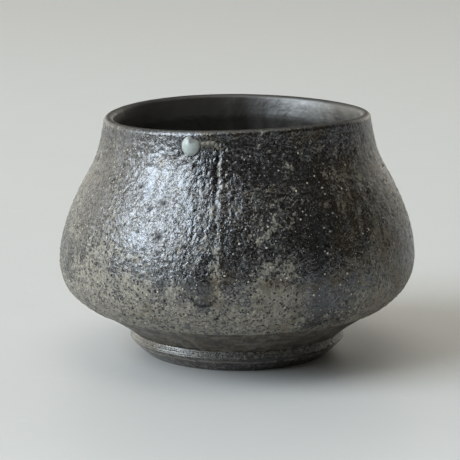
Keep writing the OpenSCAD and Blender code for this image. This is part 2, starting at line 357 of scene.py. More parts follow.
def shell_faces(front_rows, back_rows, number, poles):
    """Quads and triangles of a closed shell whose front and back sheets share their first ring.

    With poles, each sheet ends in one point. Without, they also share their last ring.
    """
    front = [row * number for row in range(front_rows)]
    back = [0] + [(front_rows + row) * number for row in range(back_rows)]
    if not poles:
        back.append(front[-1])
    faces = []
    for low, high in zip(front[:-1], front[1:]):
        faces += ring_quads(low, high, number).tolist()
    for low, high in zip(back[:-1], back[1:]):
        faces += ring_quads(low, high, number)[:, ::-1].tolist()
    if poles:
        here = np.arange(number)
        after = (here + 1) % number
        pole = np.full(number, (front_rows + back_rows) * number)
        faces += np.stack([front[-1] + here, front[-1] + after, pole], axis=1).tolist()
        faces += np.stack([back[-1] + after, back[-1] + here, pole + 1], axis=1).tolist()
    return faces


def tube_faces(first, rings, sides):
    """Quads of a tube whose points are numbered from the first, and a face at each end."""
    here = np.arange(sides)
    last = first + (rings - 1) * sides
    faces = []
    for low in range(first, last, sides):
        faces += ring_quads(low, low + sides, sides)[:, [0, 3, 2, 1]].tolist()
    return faces + [(first + here).tolist(), (last + here[::-1]).tolist()]


def new_object(name, data):
    """An object in the scene."""
    made = bpy.data.objects.new(name, data)
    bpy.context.scene.collection.objects.link(made)
    return made


def new_piece(name, sheets, faces, attributes=()):
    """A smooth mesh object at the origin, made of sheets of points.

    Float attributes are given for the first points, and are 0 on the rest.
    """
    points = np.vstack([np.reshape(sheet, (-1, 3)) for sheet in sheets])
    mesh = bpy.data.meshes.new(name)
    mesh.from_pydata(points.tolist(), [], faces)
    mesh.validate()
    for key, values in dict(attributes).items():
        kept = np.zeros(len(points), dtype=np.float32)
        kept[:np.size(values)] = np.ravel(values)
        mesh.attributes.new(key, "FLOAT", "POINT").data.foreach_set("value", kept)
    mesh.shade_smooth()
    mesh.set_sharp_from_angle(angle=math.radians(75.0))
    mesh.update()
    return new_object(name, mesh)


def hand_over(piece, node):
    """Ties a finished piece to the bowl's body and hides the solid that it stands for."""
    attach(piece, "root")
    if node:
        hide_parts(node)


# Node trees

class Value:
    """A number, colour or vector in a node tree. Its signs and methods add nodes to that tree."""

    def __init__(self, nodes, socket):
        self.nodes = nodes
        self.socket = socket

    def __add__(self, other):
        return self.nodes.calc("ADD", self, other)

    def __sub__(self, other):
        return self.nodes.calc("SUBTRACT", self, other)

    def __rsub__(self, other):
        return self.nodes.calc("SUBTRACT", other, self)

    def __mul__(self, other):
        return self.nodes.calc("MULTIPLY", self, other)

    def __rtruediv__(self, other):
        return self.nodes.calc("DIVIDE", other, self)

    def __abs__(self):
        return self.nodes.calc("ABSOLUTE", self)

    def larger(self, other):
        return self.nodes.calc("MAXIMUM", self, other)

    def spread(self, low, high, to_low=0.0, to_high=1.0, smooth=True):
        """A range mapped to another, held at its ends."""
        return self.nodes.add(
            "ShaderNodeMapRange", 0, {0: self, 1: low, 2: high, 3: to_low, 4: to_high},
            interpolation_type="SMOOTHSTEP" if smooth else "LINEAR")

    def mixed(self, a, b):
        """A number that goes from a to b as this one goes from 0 to 1."""
        return self.nodes.add("ShaderNodeMix", 0, {0: self, 2: a, 3: b}, data_type="FLOAT")

    def blend(self, a, b):
        """A colour that goes from a to b as this number goes from 0 to 1."""
        a, b = (side if isinstance(side, Value) else (*side, 1.0) for side in (a, b))
        return self.nodes.add("ShaderNodeMix", 2, {0: self, 6: a, 7: b}, data_type="RGBA")


class Nodes:
    """A node tree that is built by formulas."""

    def __init__(self, tree):
        self.tree = tree

    def put(self, value, socket):
        """Sets a socket, or links it."""
        if isinstance(value, Value):
            self.tree.links.new(value.socket, socket)
        else:
            socket.default_value = value

    def add(self, kind, output, inputs=(), **settings):
        """One output of a new node, or several, with the node's inputs set or linked."""
        node = self.tree.nodes.new(kind)
        for key, value in settings.items():
            setattr(node, key, value)
        for key, value in dict(inputs).items():
            self.put(value, node.inputs[key])
        if isinstance(output, tuple):
            return [Value(self, node.outputs[key]) for key in output]
        return Value(self, node.outputs[output])

    def calc(self, operation, a, b=0.0, clamp=False):
        return self.add("ShaderNodeMath", 0, {0: a, 1: b}, operation=operation, use_clamp=clamp)


# Materials, with the sizes of their patterns in millimetres

class Paint(Nodes):
    """A material's nodes, with the piece's own coordinates in millimetres."""

    def __init__(self, name, **constants):
        self.material = bpy.data.materials.new(name)
        self.material.use_nodes = True
        super().__init__(self.material.node_tree)
        self.colours = bpy.context.scene.tea_bowl_colours
        place = self.add("ShaderNodeTexCoord", "Object")
        self.mm = self.add("ShaderNodeVectorMath", 0, {0: place, "Scale": 1.0 / MM}, operation="SCALE")
        self.finish(**constants)

    def finish(self, **inputs):
        """Sets or links the shader's inputs, named with _ for a space, and returns the material."""
        shader = self.tree.nodes["Principled BSDF"]
        for key, value in inputs.items():
            self.put(value, shader.inputs[key.replace("_", " ")])
        return self.material

    def axes(self):
        """The coordinates x, y and z."""
        return self.add("ShaderNodeSeparateXYZ", (0, 1, 2), {0: self.mm})

    def cloud(self, size, stretch=(), detail=2.0, rough=0.5, distortion=0.0):
        """Noise with features of a size, drawn out along each axis whose stretch is small."""
        place = self.mm
        if stretch:
            place = self.add("ShaderNodeVectorMath", 0, {0: place, 1: stretch}, operation="MULTIPLY")
        return self.add("ShaderNodeTexNoise", 0, {
            "Vector": place, "Scale": 1.0 / size, "Detail": detail, "Roughness": rough,
            "Distortion": distortion})

    def cells(self, size):
        """Cells of a size: the distance from a cell's centre, and two random numbers for each cell."""
        near, mark = self.add("ShaderNodeTexVoronoi", ("Distance", "Color"), {
            "Vector": self.mm, "Scale": 1.0 / size})
        return near, *self.add("ShaderNodeSeparateColor", (0, 1), {0: mark})

    def attribute(self, name):
        """A float that is kept on the piece's points."""
        return self.add("ShaderNodeAttribute", "Fac", attribute_name=name)

    def bump(self, height, depth):
        """A bump of a height field, with the depth of one unit of it."""
        return self.add("ShaderNodeBump", 0, {"Height": height, "Strength": 1.0, "Distance": depth * MM})


def shade(rgb, factor):
    """A colour made darker or lighter."""
    return tuple(factor * part for part in rgb)


def iron_skin(paint, density, streak, rusty=0.0):
    """Iron glaze with mottles of ash at a density from 0 to 1: its colour, metal, roughness and height."""
    colours = paint.colours
    fine = paint.cloud(0.6, detail=3.0, rough=0.65)
    wrinkle = paint.cloud(1.8, (1.15, 1.15, 1.0), detail=3.0, rough=0.6, distortion=0.75)
    mottle = paint.cloud(0.75, detail=3.0, rough=0.7) * 0.55
    mottle = mottle + paint.cloud(1.7, detail=4.0, rough=0.7) * 0.45
    near, pick, pick_dark = paint.cells(0.8)
    blotch = paint.cloud(1.0, detail=3.0, rough=0.6, distortion=1.0)
    level = density.spread(0.0, 1.0, 0.64, 0.43, smooth=False)
    ash = (mottle - level).spread(-0.04, 0.07).larger(density.spread(0.4, 1.0, 0.0, 0.2))
    rust = (paint.cloud(8.0, detail=4.0, rough=0.65) + rusty).spread(0.5, 0.68)
    tint = (rust * 0.65).blend(colours.ash, colours.ochre)
    tint = pick.spread(0.0, 1.0, 0.5, 0.0, smooth=False).blend(tint, colours.iron_dark)
    iron = fine.spread(0.35, 0.65).blend(colours.iron_dark, colours.iron_grey)
    iron = streak.spread(0.48, 0.7, 0.0, 0.8).blend(iron, colours.iron_blue)
    iron = (rust * 0.4).blend(iron, colours.ochre)
    # Dark specks, also sunk in the bump: partly dark grains, partly painted shade in the crevices between
    # the ash grains
    speck_and_crevice_shade = near.spread(0.2, 0.48, 1.0, 0.0) * pick_dark.spread(0.68, 0.76)
    speck_and_crevice_shade = speck_and_crevice_shade.larger(blotch.spread(0.41, 0.34, 0.0, 0.9)) * density.spread(0.3, 0.7, 0.15, 1.0)
    body = speck_and_crevice_shade.blend(ash.blend(iron, tint), shade(colours.iron_dark, 0.25))
    rough = fine.spread(0.3, 0.7, 0.16, 0.3) + ash * 0.3
    height = wrinkle * 1.8 + fine * 0.2 - speck_and_crevice_shade + mottle * 0.6
    return body, 1.0 - ash, rough, height


def ash_fall(paint, more=0.0):
    """Density of the ash, thickest low down and at the sides, the streaks it ran in, and the height."""
    x, _, z = paint.axes()
    broad = paint.cloud(14.0, (1.0, 1.0, 0.55), detail=4.0, rough=0.6)
    streak = paint.cloud(3.0, (1.0, 1.0, 0.1), detail=3.0, rough=0.55)
    low = z.spread(14.0, 36.0, 0.95, 0.18)
    side = abs(x).spread(22.0, 46.0, 0.0, 0.35)
    density = low + side + (broad - 0.5) * 1.6 + (streak - 0.5) * 1.1
    return paint.calc("ADD", density, more, clamp=True), streak, z


def coarse_glaze():
    """Iron glaze with mottles of ash, rusty tints and smooth drips, with painted shade in its pits,
    blisters and the run's groove.
    """
    paint = Paint("coarse_glaze", IOR=1.5)
    colours = paint.colours
    density, streak, z = ash_fall(paint, paint.attribute("ash"))
    body, metal, rough, height = iron_skin(paint, density, streak, paint.attribute("rust"))
    drip = paint.attribute("drip")
    body = (drip * 0.5).blend(body, colours.drip)
    pale = (paint.attribute("edge") * 0.5).larger(paint.attribute("ridge") * 0.3)
    body = (pale * height.spread(1.2, 1.6)).blend(body, colours.ash)
    # Painted shade: the pits, blisters, the run's groove and the shadow under the thread are darkened, as
    # are the lines below the drips
    hollow = paint.attribute("pit").larger(paint.attribute("groove"))
    body = hollow.blend(body, shade(colours.iron_dark, 0.2))
    calm = height * (1.0 - drip * 0.35) * z.spread(48.0, 62.0, 1.0, 0.6)
    return paint.finish(Base_Color=body, Metallic=metal.larger(drip), Roughness=rough - drip * 0.08,
                        Normal=paint.bump(calm, 0.2))


def smooth_glaze():
    """Glossy dark lining with faint throwing rings, dull on the lip's crest and grainy outside it."""
    paint = Paint("smooth_glaze", IOR=2.2)
    colours = paint.colours
    outside = paint.attribute("outside")
    thin = paint.attribute("lip")
    fine = paint.cloud(0.7, detail=3.0, rough=0.6)
    soft = paint.cloud(7.0, detail=3.0, rough=0.55)
    streak = paint.cloud(5.0, (1.0, 1.0, 0.15))
    rings = paint.cloud(2.4, (0.04, 0.04, 1.0))
    density, ash_streak, _ = ash_fall(paint)
    grainy, metal, grain_rough, grain_height = iron_skin(paint, density, ash_streak)
    lining = streak.spread(0.35, 0.7).blend(colours.lining, shade(colours.lining, 2.0))
    worn = thin * fine.spread(0.3, 0.6, 0.8, 1.0)
    body = worn.blend(outside.blend(lining, grainy), colours.lip)
    rough = outside.mixed(streak.spread(0.3, 0.7, 0.36, 0.48), grain_rough)
    height = (rings * 0.4 + fine * 0.12 + soft * 2.0) * (1.0 - outside) + outside * (grain_height * 0.6)
    return paint.finish(Base_Color=body, Metallic=(outside * metal).larger(thin),
                        Roughness=thin.mixed(rough, 0.65), Normal=paint.bump(height, 0.2))


def bare_clay():
    """Dark, dense clay with trimming lines and fine sand."""
    paint = Paint("bare_clay", IOR=1.55)
    clay = paint.colours.clay
    dark = shade(clay, 0.25)
    line = paint.cloud(0.5, (0.05, 0.05, 1.0), detail=3.0, rough=0.6)
    sand = paint.cloud(0.5, detail=4.0, rough=0.75)
    patch = paint.cloud(2.4, (0.7, 0.7, 1.1), detail=5.0, rough=0.7, distortion=0.5)
    rust = paint.cloud(4.0, (0.6, 0.6, 1.0), detail=4.0, rough=0.6, distortion=0.5)
    body = patch.spread(0.42, 0.58).blend(dark, clay)
    body = rust.spread(0.52, 0.64, 0.0, 0.7).blend(body, shade(paint.colours.ochre, 0.6))
    body = rust.spread(0.46, 0.38, 0.0, 0.7).blend(body, dark)
    body = (line.spread(0.45, 0.65) * 0.5).blend(body, dark)
    body = sand.spread(0.4, 0.3).blend(body, dark)
    return paint.finish(Base_Color=body, Roughness=sand.spread(0.3, 0.7, 0.35, 0.6),
                        Normal=paint.bump(line * 0.6 + sand * 0.9, 0.2))


def foot_slip():
    """Satin dark slip in blotches, with trimming streaks and patches worn to clay, and a painted highlight
    of clay colour along the ring's widest line.
    """
    paint = Paint("foot_slip", IOR=2.0)
    colours = paint.colours
    x, _, z = paint.axes()
    line = paint.cloud(0.7, (0.06, 0.06, 1.0), detail=3.0, rough=0.6)
    patch = paint.cloud(1.8, (0.35, 0.35, 1.0), detail=4.0, rough=0.6, distortion=0.4)
    fine = paint.cloud(0.5, detail=3.0, rough=0.65)
    blotch = paint.cloud(1.6, detail=5.0, rough=0.7, distortion=0.6)
    worn = z.spread(0.5, 3.0, 1.0, 0.7) * blotch.spread(0.47, 0.6)
    # Painted highlight: a light line of clay colour along the edge at the ring's widest line
    off_edge = abs(z - 3.1 + (patch - 0.5) * 1.2)
    edge_highlight = off_edge.spread(0.1, 0.45, 1.0, 0.0) * blotch.spread(0.35, 0.5)
    body = line.spread(0.35, 0.7).blend(colours.slip, shade(colours.slip, 0.3))
    body = (worn * 0.7).blend(body, colours.clay)
    body = edge_highlight.blend(body, colours.clay)
    rough = patch.spread(0.3, 0.7, 0.1, 0.28) + worn * 0.12
    pocked = x.spread(-20.0, -6.0)
    height = line * 0.4 + patch * 1.2 + fine * pocked.spread(0.0, 1.0, 0.08, 0.35)
    height = height + blotch * pocked.spread(0.0, 1.0, 0.1, 2.2)
    return paint.finish(Base_Color=body, Roughness=rough, Normal=paint.bump(height, 0.25))


def bead_glass():
    """Pale green melted glass, milky inside, grey where the glaze laps over it, brown along its thread."""
    paint = Paint("bead_glass", IOR=1.5, Subsurface_Weight=0.35, Subsurface_Scale=1.2 * MM,
                  Subsurface_Radius=(0.8, 1.0, 0.8))
    colours = paint.colours
    milk = paint.cloud(1.6, detail=3.0, rough=0.6)
    thread = paint.attribute("thread")
    body = milk.spread(0.3, 0.7).blend(colours.glass, shade(colours.glass, 0.8))
    body = (paint.attribute("lapped") * 0.9).blend(body, shade(colours.iron_grey, 0.9))
    brown = milk.spread(0.35, 0.6).blend(shade(colours.ash, 0.22), shade(colours.ash, 0.48))
    return paint.finish(Base_Color=thread.blend(body, brown), Roughness=thread.spread(0.0, 1.0, 0.22, 0.5),
                        Normal=paint.bump(milk, 0.03))


def quartz_grit():
    """Pale, rusty and grey grains, told apart by their tone."""
    paint = Paint("quartz_grit", IOR=1.55)
    colours = paint.colours
    tone = paint.attribute("tone")
    body = tone.spread(0.0, 0.45, 0.0, 0.6).blend(colours.iron_grey, colours.ash)
    body = tone.spread(0.4, 0.46).blend(body, colours.ochre)
    body = tone.spread(0.52, 0.6).blend(body, colours.quartz)
    return paint.finish(Base_Color=body, Roughness=paint.cloud(0.3).spread(0.3, 0.7, 0.25, 0.5))


def pale_table():
    """Pale table top with faint scuffs, with painted light that makes it lighter towards the front and
    painted shade that makes it darker far behind.
    """
    paint = Paint("pale_table", IOR=1.45, Roughness=0.55)
    table = paint.colours.table
    # Lighter colour, for the painted light at the front and for the scuffs
    light = shade(table, 1.3)
    _, y, _ = paint.axes()
    scuff = paint.cloud(5.0, (0.5, 1.0, 1.0), detail=6.0, rough=0.75)
    body = paint.cloud(30.0, detail=4.0, rough=0.6).blend(table, shade(table, 0.95))
    # Painted light: lighter towards the front
    body = y.spread(-30.0, -230.0).blend(body, light)
    # Painted shade: darker far behind
    body = y.spread(100.0, 1200.0).blend(body, shade(table, 0.84))
    return paint.finish(Base_Color=(scuff.spread(0.6, 0.72) * 0.35).blend(body, light))


# Geometry Nodes

class Growth(Nodes):
    """Geometry Nodes that run on a piece, with named numbers, a seed and a material."""

    def __init__(self, name, material, numbers):
        super().__init__(bpy.data.node_groups.new(name, "GeometryNodeTree"))
        self.settings = {**numbers, "Seed": bowl_relief().seed, "Material": material}
        kinds = {"Mesh": "Geometry", **dict.fromkeys(numbers, "Float"), "Seed": "Int",
                 "Material": "Material"}
        for key, kind in kinds.items():
            self.tree.interface.new_socket(key, in_out="INPUT", socket_type="NodeSocket" + kind)
        self.tree.interface.new_socket("Mesh", in_out="OUTPUT", socket_type="NodeSocketGeometry")
        self.inlet = self.tree.nodes.new("NodeGroupInput")

    def given(self, key):
        """One of the tree's inputs."""
        return Value(self, self.inlet.outputs[key])

    def stored(self, name):
        """A float that is kept on the mesh's points."""
        return self.add("GeometryNodeInputNamedAttribute", 0, {"Name": name}, data_type="FLOAT")

    def store(self, geometry, name, value, domain):
        """The geometry with a float kept on each of its points or instances."""
        return self.add("GeometryNodeStoreNamedAttribute", 0, {0: geometry, "Name": name, "Value": value},
                        data_type="FLOAT", domain=domain)

    def random_number(self, seed, most):
        """A random number from 0 to the most, for each point or instance."""
        return self.add("FunctionNodeRandomValue", 1, {"Seed": seed, 2: 0.0, 3: most}, data_type="FLOAT")

    def finish(self, piece, geometry, name):
        """Runs the tree on a piece, up to a geometry, and returns the result as a plain mesh object."""
        real = self.add("GeometryNodeRealizeInstances", 0, {0: geometry})
        painted = self.add("GeometryNodeSetMaterial", 0, {0: real, "Material": self.given("Material")})
        self.put(painted, self.tree.nodes.new("NodeGroupOutput").inputs[0])
        modifier = piece.modifiers.new(self.tree.name, "NODES")
        modifier.node_group = self.tree
        for item in self.tree.interface.items_tree:
            if item.name in self.settings:
                modifier[item.identifier] = self.settings[item.name]
        depsgraph = bpy.context.evaluated_depsgraph_get()
        mesh = bpy.data.meshes.new_from_object(piece.evaluated_get(depsgraph), depsgraph=depsgraph)
        piece.modifiers.remove(modifier)
        mesh.name = name
        return new_object(name, mesh)


def with_relief(glaze, relief):
    """The outer glaze with lumps, grains and pits raised along its own normals."""
    growth = Growth("Glaze Relief", coarse_glaze(), {
        "Lump Height": relief.lump_h, "Lump Size": relief.lump_size, "Grain Height": relief.grain_h,
        "Grain Size": relief.grain_size, "Pit Depth": relief.pit_depth, "Pit Spacing": relief.pit_spacing})
    given = growth.given
    place = growth.add("GeometryNodeInputPosition", 0)
    normal = growth.add("GeometryNodeInputNormal", 0)
    cover = growth.stored("cover")
    shift = given("Seed") * 1.37

    def pattern(size, kind, output, **settings):
        inputs = {"Vector": place, "W": shift, "Scale": 1.0 / given(size)}
        return growth.add(kind, output, inputs, **settings)

    def cells(size, output):
        return pattern(size, "ShaderNodeTexVoronoi", output, voronoi_dimensions="4D")

    lump = pattern("Lump Size", "ShaderNodeTexNoise", 0, noise_dimensions="4D")
    lump = lump.spread(0.2, 0.8, -1.0, 1.0, smooth=False) * given("Lump Height")
    grain = cells("Grain Size", "Distance").spread(0.1, 0.8, 1.0, -1.0, smooth=False)
    grain = grain * given("Grain Height") * (1.0 - growth.stored("drip") * 0.8)
    near, mark = cells("Pit Spacing", ("Distance", "Color"))
    chosen = growth.add("FunctionNodeSeparateColor", 0, {0: mark})
    pit = near.spread(0.15, 0.27, 1.0, 0.0) * chosen.spread(0.45, 0.55) * cover
    height = (lump + grain - pit * given("Pit Depth")) * cover
    move = growth.add("ShaderNodeVectorMath", 0, {0: normal, "Scale": height}, operation="SCALE")
    # The pits are kept so that the material paints shade in them
    kept = growth.store(given("Mesh"), "pit", pit, "POINT")
    moved = growth.add("GeometryNodeSetPosition", 0, {0: kept, "Offset": move})
    return growth.finish(glaze, moved, "outer_glaze_surface")


def grit_in(glaze, relief):
    """Small angular grains scattered over the outer glaze and half sunk in it."""
    growth = Growth("Quartz Grit", quartz_grit(), {
        "Density": relief.grit_count * 100.0, "Least Radius": relief.grit_least,
        "Largest Radius": relief.grit_most})
    given = growth.given
    seed, least = given("Seed"), given("Least Radius")
    covered = growth.calc("GREATER_THAN", growth.stored("cover"), 0.99)
    points, facing = growth.add("GeometryNodeDistributePointsOnFaces", ("Points", "Rotation"), {
        "Mesh": given("Mesh"), "Density": given("Density") * covered, "Seed": seed},
        distribute_method="RANDOM")
    stone = growth.add("GeometryNodeMeshIcoSphere", 0, {"Radius": 1.0, "Subdivisions": 1})
    mostly_small = growth.calc("POWER", growth.random_number(seed, 1.0), 3.2)
    radius = least + mostly_small * (given("Largest Radius") - least)
    squash = growth.add("ShaderNodeCombineXYZ", 0, {0: radius, 1: radius * 0.8, 2: radius * 0.5})
    placed = growth.add("GeometryNodeInstanceOnPoints", 0, {
        "Points": points, "Instance": stone, "Rotation": facing, "Scale": squash})
    turn = growth.add("ShaderNodeCombineXYZ", 0, {2: growth.random_number(seed + 11.0, 2 * math.pi)})
    turned = growth.add("GeometryNodeRotateInstances", 0, {"Instances": placed, "Rotation": turn})
    toned = growth.store(turned, "tone", growth.random_number(seed + 23.0, 1.0), "INSTANCE")
    return growth.finish(glaze, toned, "quartz_grit_in_glaze")


# Marks on the glazes, with turns in degrees from the front, and heights and widths in millimetres

# Places with more or less ash or rust: turn, height, half width, half height, how much more
RUST_PLACES = (
    (41.0, 50.0, 8.0, 10.0, 0.16),
    (36.0, 38.0, 7.0, 8.0, 0.1),
    (52.0, 34.0, 9.0, 14.0, 0.1),
    (10.0, 26.0, 8.0, 6.0, 0.06),
    (-6.2, 26.0, 1.5, 6.0, 0.12),
    (-40.0, 30.0, 30.0, 40.0, -0.1),
)
ASH_PLACES = (
    (20.0, 44.0, 5.0, 4.0, 0.45),
    (10.0, 26.0, 9.0, 7.0, 0.4),
    (-6.2, 27.5, 1.4, 6.5, 0.55),
    (-10.0, 19.0, 3.5, 2.5, 0.35),
    (-12.5, 36.5, 6.0, 4.0, 0.3),
    (-27.0, 25.0, 11.0, 9.0, 0.4),
    (-46.0, 28.0, 13.0, 10.0, 0.3),
    (41.0, 50.0, 6.0, 7.0, 0.35),
    (58.0, 57.0, 10.0, 7.0, 0.35),
    (48.0, 32.0, 6.0, 8.0, 0.3),
    (17.0, 35.0, 5.0, 4.0, 0.3),
    (26.0, 34.0, 4.0, 14.0, -0.5),
    (-10.3, 29.0, 2.2, 4.0, -0.5),
    (-3.0, 30.0, 1.5, 8.0, -0.45),
    (-4.2, 18.0, 1.2, 3.0, -0.4),
    (36.0, 21.0, 4.0, 6.0, -0.3),
    (40.0, 27.0, 8.0, 5.0, -0.25),
    (2.0, 24.0, 1.5, 7.0, -0.3),
)
# Blisters that burst in the firing, and lumps of ash: turn, height, half width, half height, strength
BLISTERS = (
    (-38.5, 52.5, 1.0, 0.8, 0.85),
    (-25.0, 50.9, 1.0, 0.6, 0.5),
    (-26.6, 48.9, 0.9, 0.7, 1.0),
    (-26.0, 40.6, 0.7, 0.8, 1.0),
    (-34.5, 41.4, 0.9, 0.4, 0.8),
    (-32.0, 47.4, 0.7, 0.5, 0.8),
    (-42.0, 42.0, 0.7, 0.6, 0.6),
)
ASH_LUMPS = (
    (-36.5, 59.5, 0.9, 0.8, 0.8),
    (-8.0, 46.3, 0.6, 1.8, 0.7),
    (3.5, 63.0, 0.9, 0.8, 0.8),
    (5.0, 55.7, 0.8, 0.8, 0.8),
    (2.0, 45.6, 0.7, 0.8, 0.9),
    (4.8, 44.2, 0.8, 0.7, 0.9),
    (7.5, 44.0, 0.7, 0.7, 0.9),
    (10.0, 41.1, 0.8, 0.8, 0.9),
    (12.3, 42.8, 0.8, 0.7, 0.9),
    (19.5, 46.2, 0.7, 0.7, 0.9),
    (20.5, 57.8, 0.9, 0.8, 0.8),
)
# Drips of the front: turn, upper end, lower end, width
FRONT_DRIPS = [
    (-10.3, 40.0, 25.0, 4.4),
    (26.0, 46.0, 14.6, 5.0),
    (38.0, 30.0, 15.0, 3.2),
]
BACK_DRIPS = 16
# Height over which a drip fades in, and the distance and half width of the dark line below its end
DRIP_FADE = 12.0
DRIP_LINE_OFF = 1.3
DRIP_LINE_W = 0.45
# Heights at which the run starts to show and to grow deep, and the heights over which it does
RUN_LOW_H = 17.0
RUN_LOW_FADE = 8.0
RUN_DEEP_H = 44.0
RUN_DEEP_FADE = 9.0
# Half widths of the run's groove and ridge, and the distance between the two
GROOVE_W = 0.5
RIDGE_W = 0.9
RIDGE_OFF = 1.5
# Painted shadow under the bead's thread, in a shallow dent to the left of the run: distance, height, half
# width, half height
THREAD_SHADOW_OFF = 2.3
THREAD_SHADOW_H = 62.7
THREAD_SHADOW_W = 2.0
THREAD_SHADOW_TALL = 0.6


def seam_wave(theta):
    """Waviness of the line on which the two glazes meet below the lip."""
    return MM * (0.16 * np.sin(3 * theta + 0.5) + 0.1 * np.sin(7 * theta + 2.0) + 0.06 * np.sin(17 * theta))


def drips(seed):
    """The drips of the front, and others scattered round the back."""
    rng = np.random.default_rng(seed)
    turns = np.linspace(62.0, 300.0, BACK_DRIPS) + rng.uniform(-6.0, 6.0, BACK_DRIPS)
    tops = rng.uniform(24.0, 36.0, BACK_DRIPS)
    lows = rng.uniform(14.6, 18.0, BACK_DRIPS)
    widths = rng.uniform(1.8, 5.0, BACK_DRIPS)
    return FRONT_DRIPS + list(zip(turns, tops, lows, widths))


def drip_marks(theta, r, z):
    """The small drips, and the dark line below each one's end, from 0 to 1."""
    marks = np.zeros(np.broadcast(theta, r).shape)
    lines = np.zeros(marks.shape)
    for turn, top, low, width in drips(bowl_relief().seed):
        radius = width / 2
        across = angle_from(theta, math.radians(FRONT + turn)) * r / MM + 0.3 * np.sin(z / MM * 0.8 + turn)
        end = (low + radius) - z / MM
        out = np.where(end > 0, np.hypot(across, end), np.abs(across)) - radius
        shown = held((top - z / MM) / DRIP_FADE)
        marks = np.maximum(marks, held(0.3 - out / radius) * shown)
        line = bell((out - DRIP_LINE_OFF) / DRIP_LINE_W)
        lines = np.maximum(lines, line * held(end / radius) * shown)
    return marks, lines


def soft_marks(theta, r, z, places):
    """The strengths of marks at places, falling off softly with ragged edges."""
    marks = np.zeros(np.broadcast(theta, r).shape)
    for turn, high, width, tall, strength in places:
        across = angle_from(theta, math.radians(FRONT + turn)) * r / (width * MM)
        up = (z - high * MM) / (tall * MM)
        ragged = 1 + 0.25 * np.sin(3 * theta + z / MM * 0.9 + turn)
        ragged = ragged + 0.2 * np.sin(41 * theta - z / MM * 0.6)
        marks = marks + strength * bell(np.hypot(across, up) * ragged)
    return marks


def run_marks(theta, r, z):
    """The run's groove and the shadow under the thread beside it, both dented in and painted dark as shade,
    and the ridge to the right of it, from 0 to 1.
    """
    away = angle_from(theta, math.radians(FRONT) + bowl_sizes().run_turn)
    bend = math.radians(1.0) * np.sin((z - 20 * MM) / (26 * MM)) - math.radians(0.6)
    across = (away + bend) * r / MM + 0.25 * np.sin(z / MM * 0.9) + 0.12 * np.sin(z / MM * 2.7)
    faint = held((z / MM - RUN_LOW_H) / RUN_LOW_FADE)
    strong = held((z / MM - RUN_DEEP_H) / RUN_DEEP_FADE)
    broken = 0.88 + 0.12 * np.sin(z / MM * 1.7)
    groove = bell(across / GROOVE_W) * (0.12 * faint + 0.88 * strong) * broken
    ridge = bell((across - RIDGE_OFF) / RIDGE_W) * (0.7 * faint + 0.3 * strong)
    # Painted shadow under the bead's thread, also dented in a little
    thread_shadow = bell(np.hypot((across + THREAD_SHADOW_OFF) / THREAD_SHADOW_W, (z / MM - THREAD_SHADOW_H) / THREAD_SHADOW_TALL))
    return np.maximum(groove, 0.8 * thread_shadow), ridge


# Glass bead

BEAD_POINTS_ROUND = 72
BEAD_RINGS = 22
# Parts of the bead's width at which its flat back has rings of points
BEAD_BACK = (0.8, 0.5, 0.2)
# Depth of the bead's dent as a part of its width, and the dent's direction and half width
DENT_DEPTH = 0.22
DENT_TURN = math.radians(64.0)
DENT_W = math.radians(28.0)
# Points that the bead's thread of glass runs through: turn from the front in degrees, height in millimetres
THREAD = (
    (-16.0, 64.2),
    (-14.5, 64.1),
    (-12.8, 64.2),
    (-11.2, 64.3),
    (-9.6, 64.2),
    (-8.6, 63.9),
    (-7.9, 63.3),
    (-7.5, 62.5),
)
THREAD_RINGS = 60
THREAD_SIDES = 12
# The thread's lift off the clay, its radius and how far that swells, and a lift well clear of the thread
THREAD_LIFT = 0.2 * MM
THREAD_RADIUS = 0.72 * MM
THREAD_SWELL = 0.08 * MM
CLEAR_LIFT = 1.42 * MM


def bead_lens(form):
    """Points and faces of the bead, which has a dent at its upper right, and how far glaze laps over it."""
    bowl = form.bowl
    seat = bowl.glaze_t + bowl.bead_gap
    around = whole_turn(BEAD_POINTS_ROUND)
    dent = 1 - DENT_DEPTH * bell((around - DENT_TURN) / DENT_W)

    def ring(part, lift):
        reach = part * dent
        place = form.bead + reach * np.sin(around) * bowl.bead_l / 2
        across = reach * np.cos(around) * bowl.bead_w / 2 * (1 + bowl.bead_taper * np.sin(around))
        theta = math.radians(FRONT) + bowl.bead_turn + across / (form.at(place)[0] + lift)
        return form.skin(place, theta, lift)

    domes = np.sin(np.linspace(math.pi / 2, 0.06, BEAD_RINGS))
    front = [ring(part, seat + bowl.bead_rise * math.sqrt(max(0.0, 1 - part * part))) for part in domes]
    back = [ring(part, seat) for part in BEAD_BACK]
    poles = [ring(0.0, seat + bowl.bead_rise)[:1], ring(0.0, seat)[:1]]
    parts = np.concatenate([domes, BEAD_BACK])[:, None]
    off_lap = np.hypot(parts * np.cos(around) - 0.3, parts * np.sin(around) - 0.82) / 0.62
    faces = shell_faces(len(front), len(back), len(around), True)
    return np.vstack(front + back + poles), faces, held(2.4 - 2.2 * off_lap)


def bead_thread(form, first):
    """Points and faces of the bead's thread, with its points numbered from the first."""
    path = np.array(THREAD)
    knots = np.arange(len(path))
    t = np.linspace(0.0, len(path) - 1.0, THREAD_RINGS)
    theta = np.radians(FRONT + np.interp(t, knots, path[:, 0]))
    place = form.on_collar(MM * np.interp(t, knots, path[:, 1]))
    spine = form.skin(place, theta, THREAD_LIFT)
    out = unit(form.skin(place, theta, CLEAR_LIFT) - spine)[:, None]
    across = np.cross(unit(np.gradient(spine, axis=0))[:, None], out)
    ends = np.sqrt(1 - (t / (len(path) - 0.96)) ** 6)
    radius = (THREAD_RADIUS + THREAD_SWELL * np.sin(t * 5.0)) * ends
    around = whole_turn(THREAD_SIDES)[:, None]
    tube = spine[:, None] + radius[:, None, None] * (np.cos(around) * across + np.sin(around) * out)
    return tube.reshape(-1, 3), tube_faces(first, THREAD_RINGS, THREAD_SIDES)


# Pieces

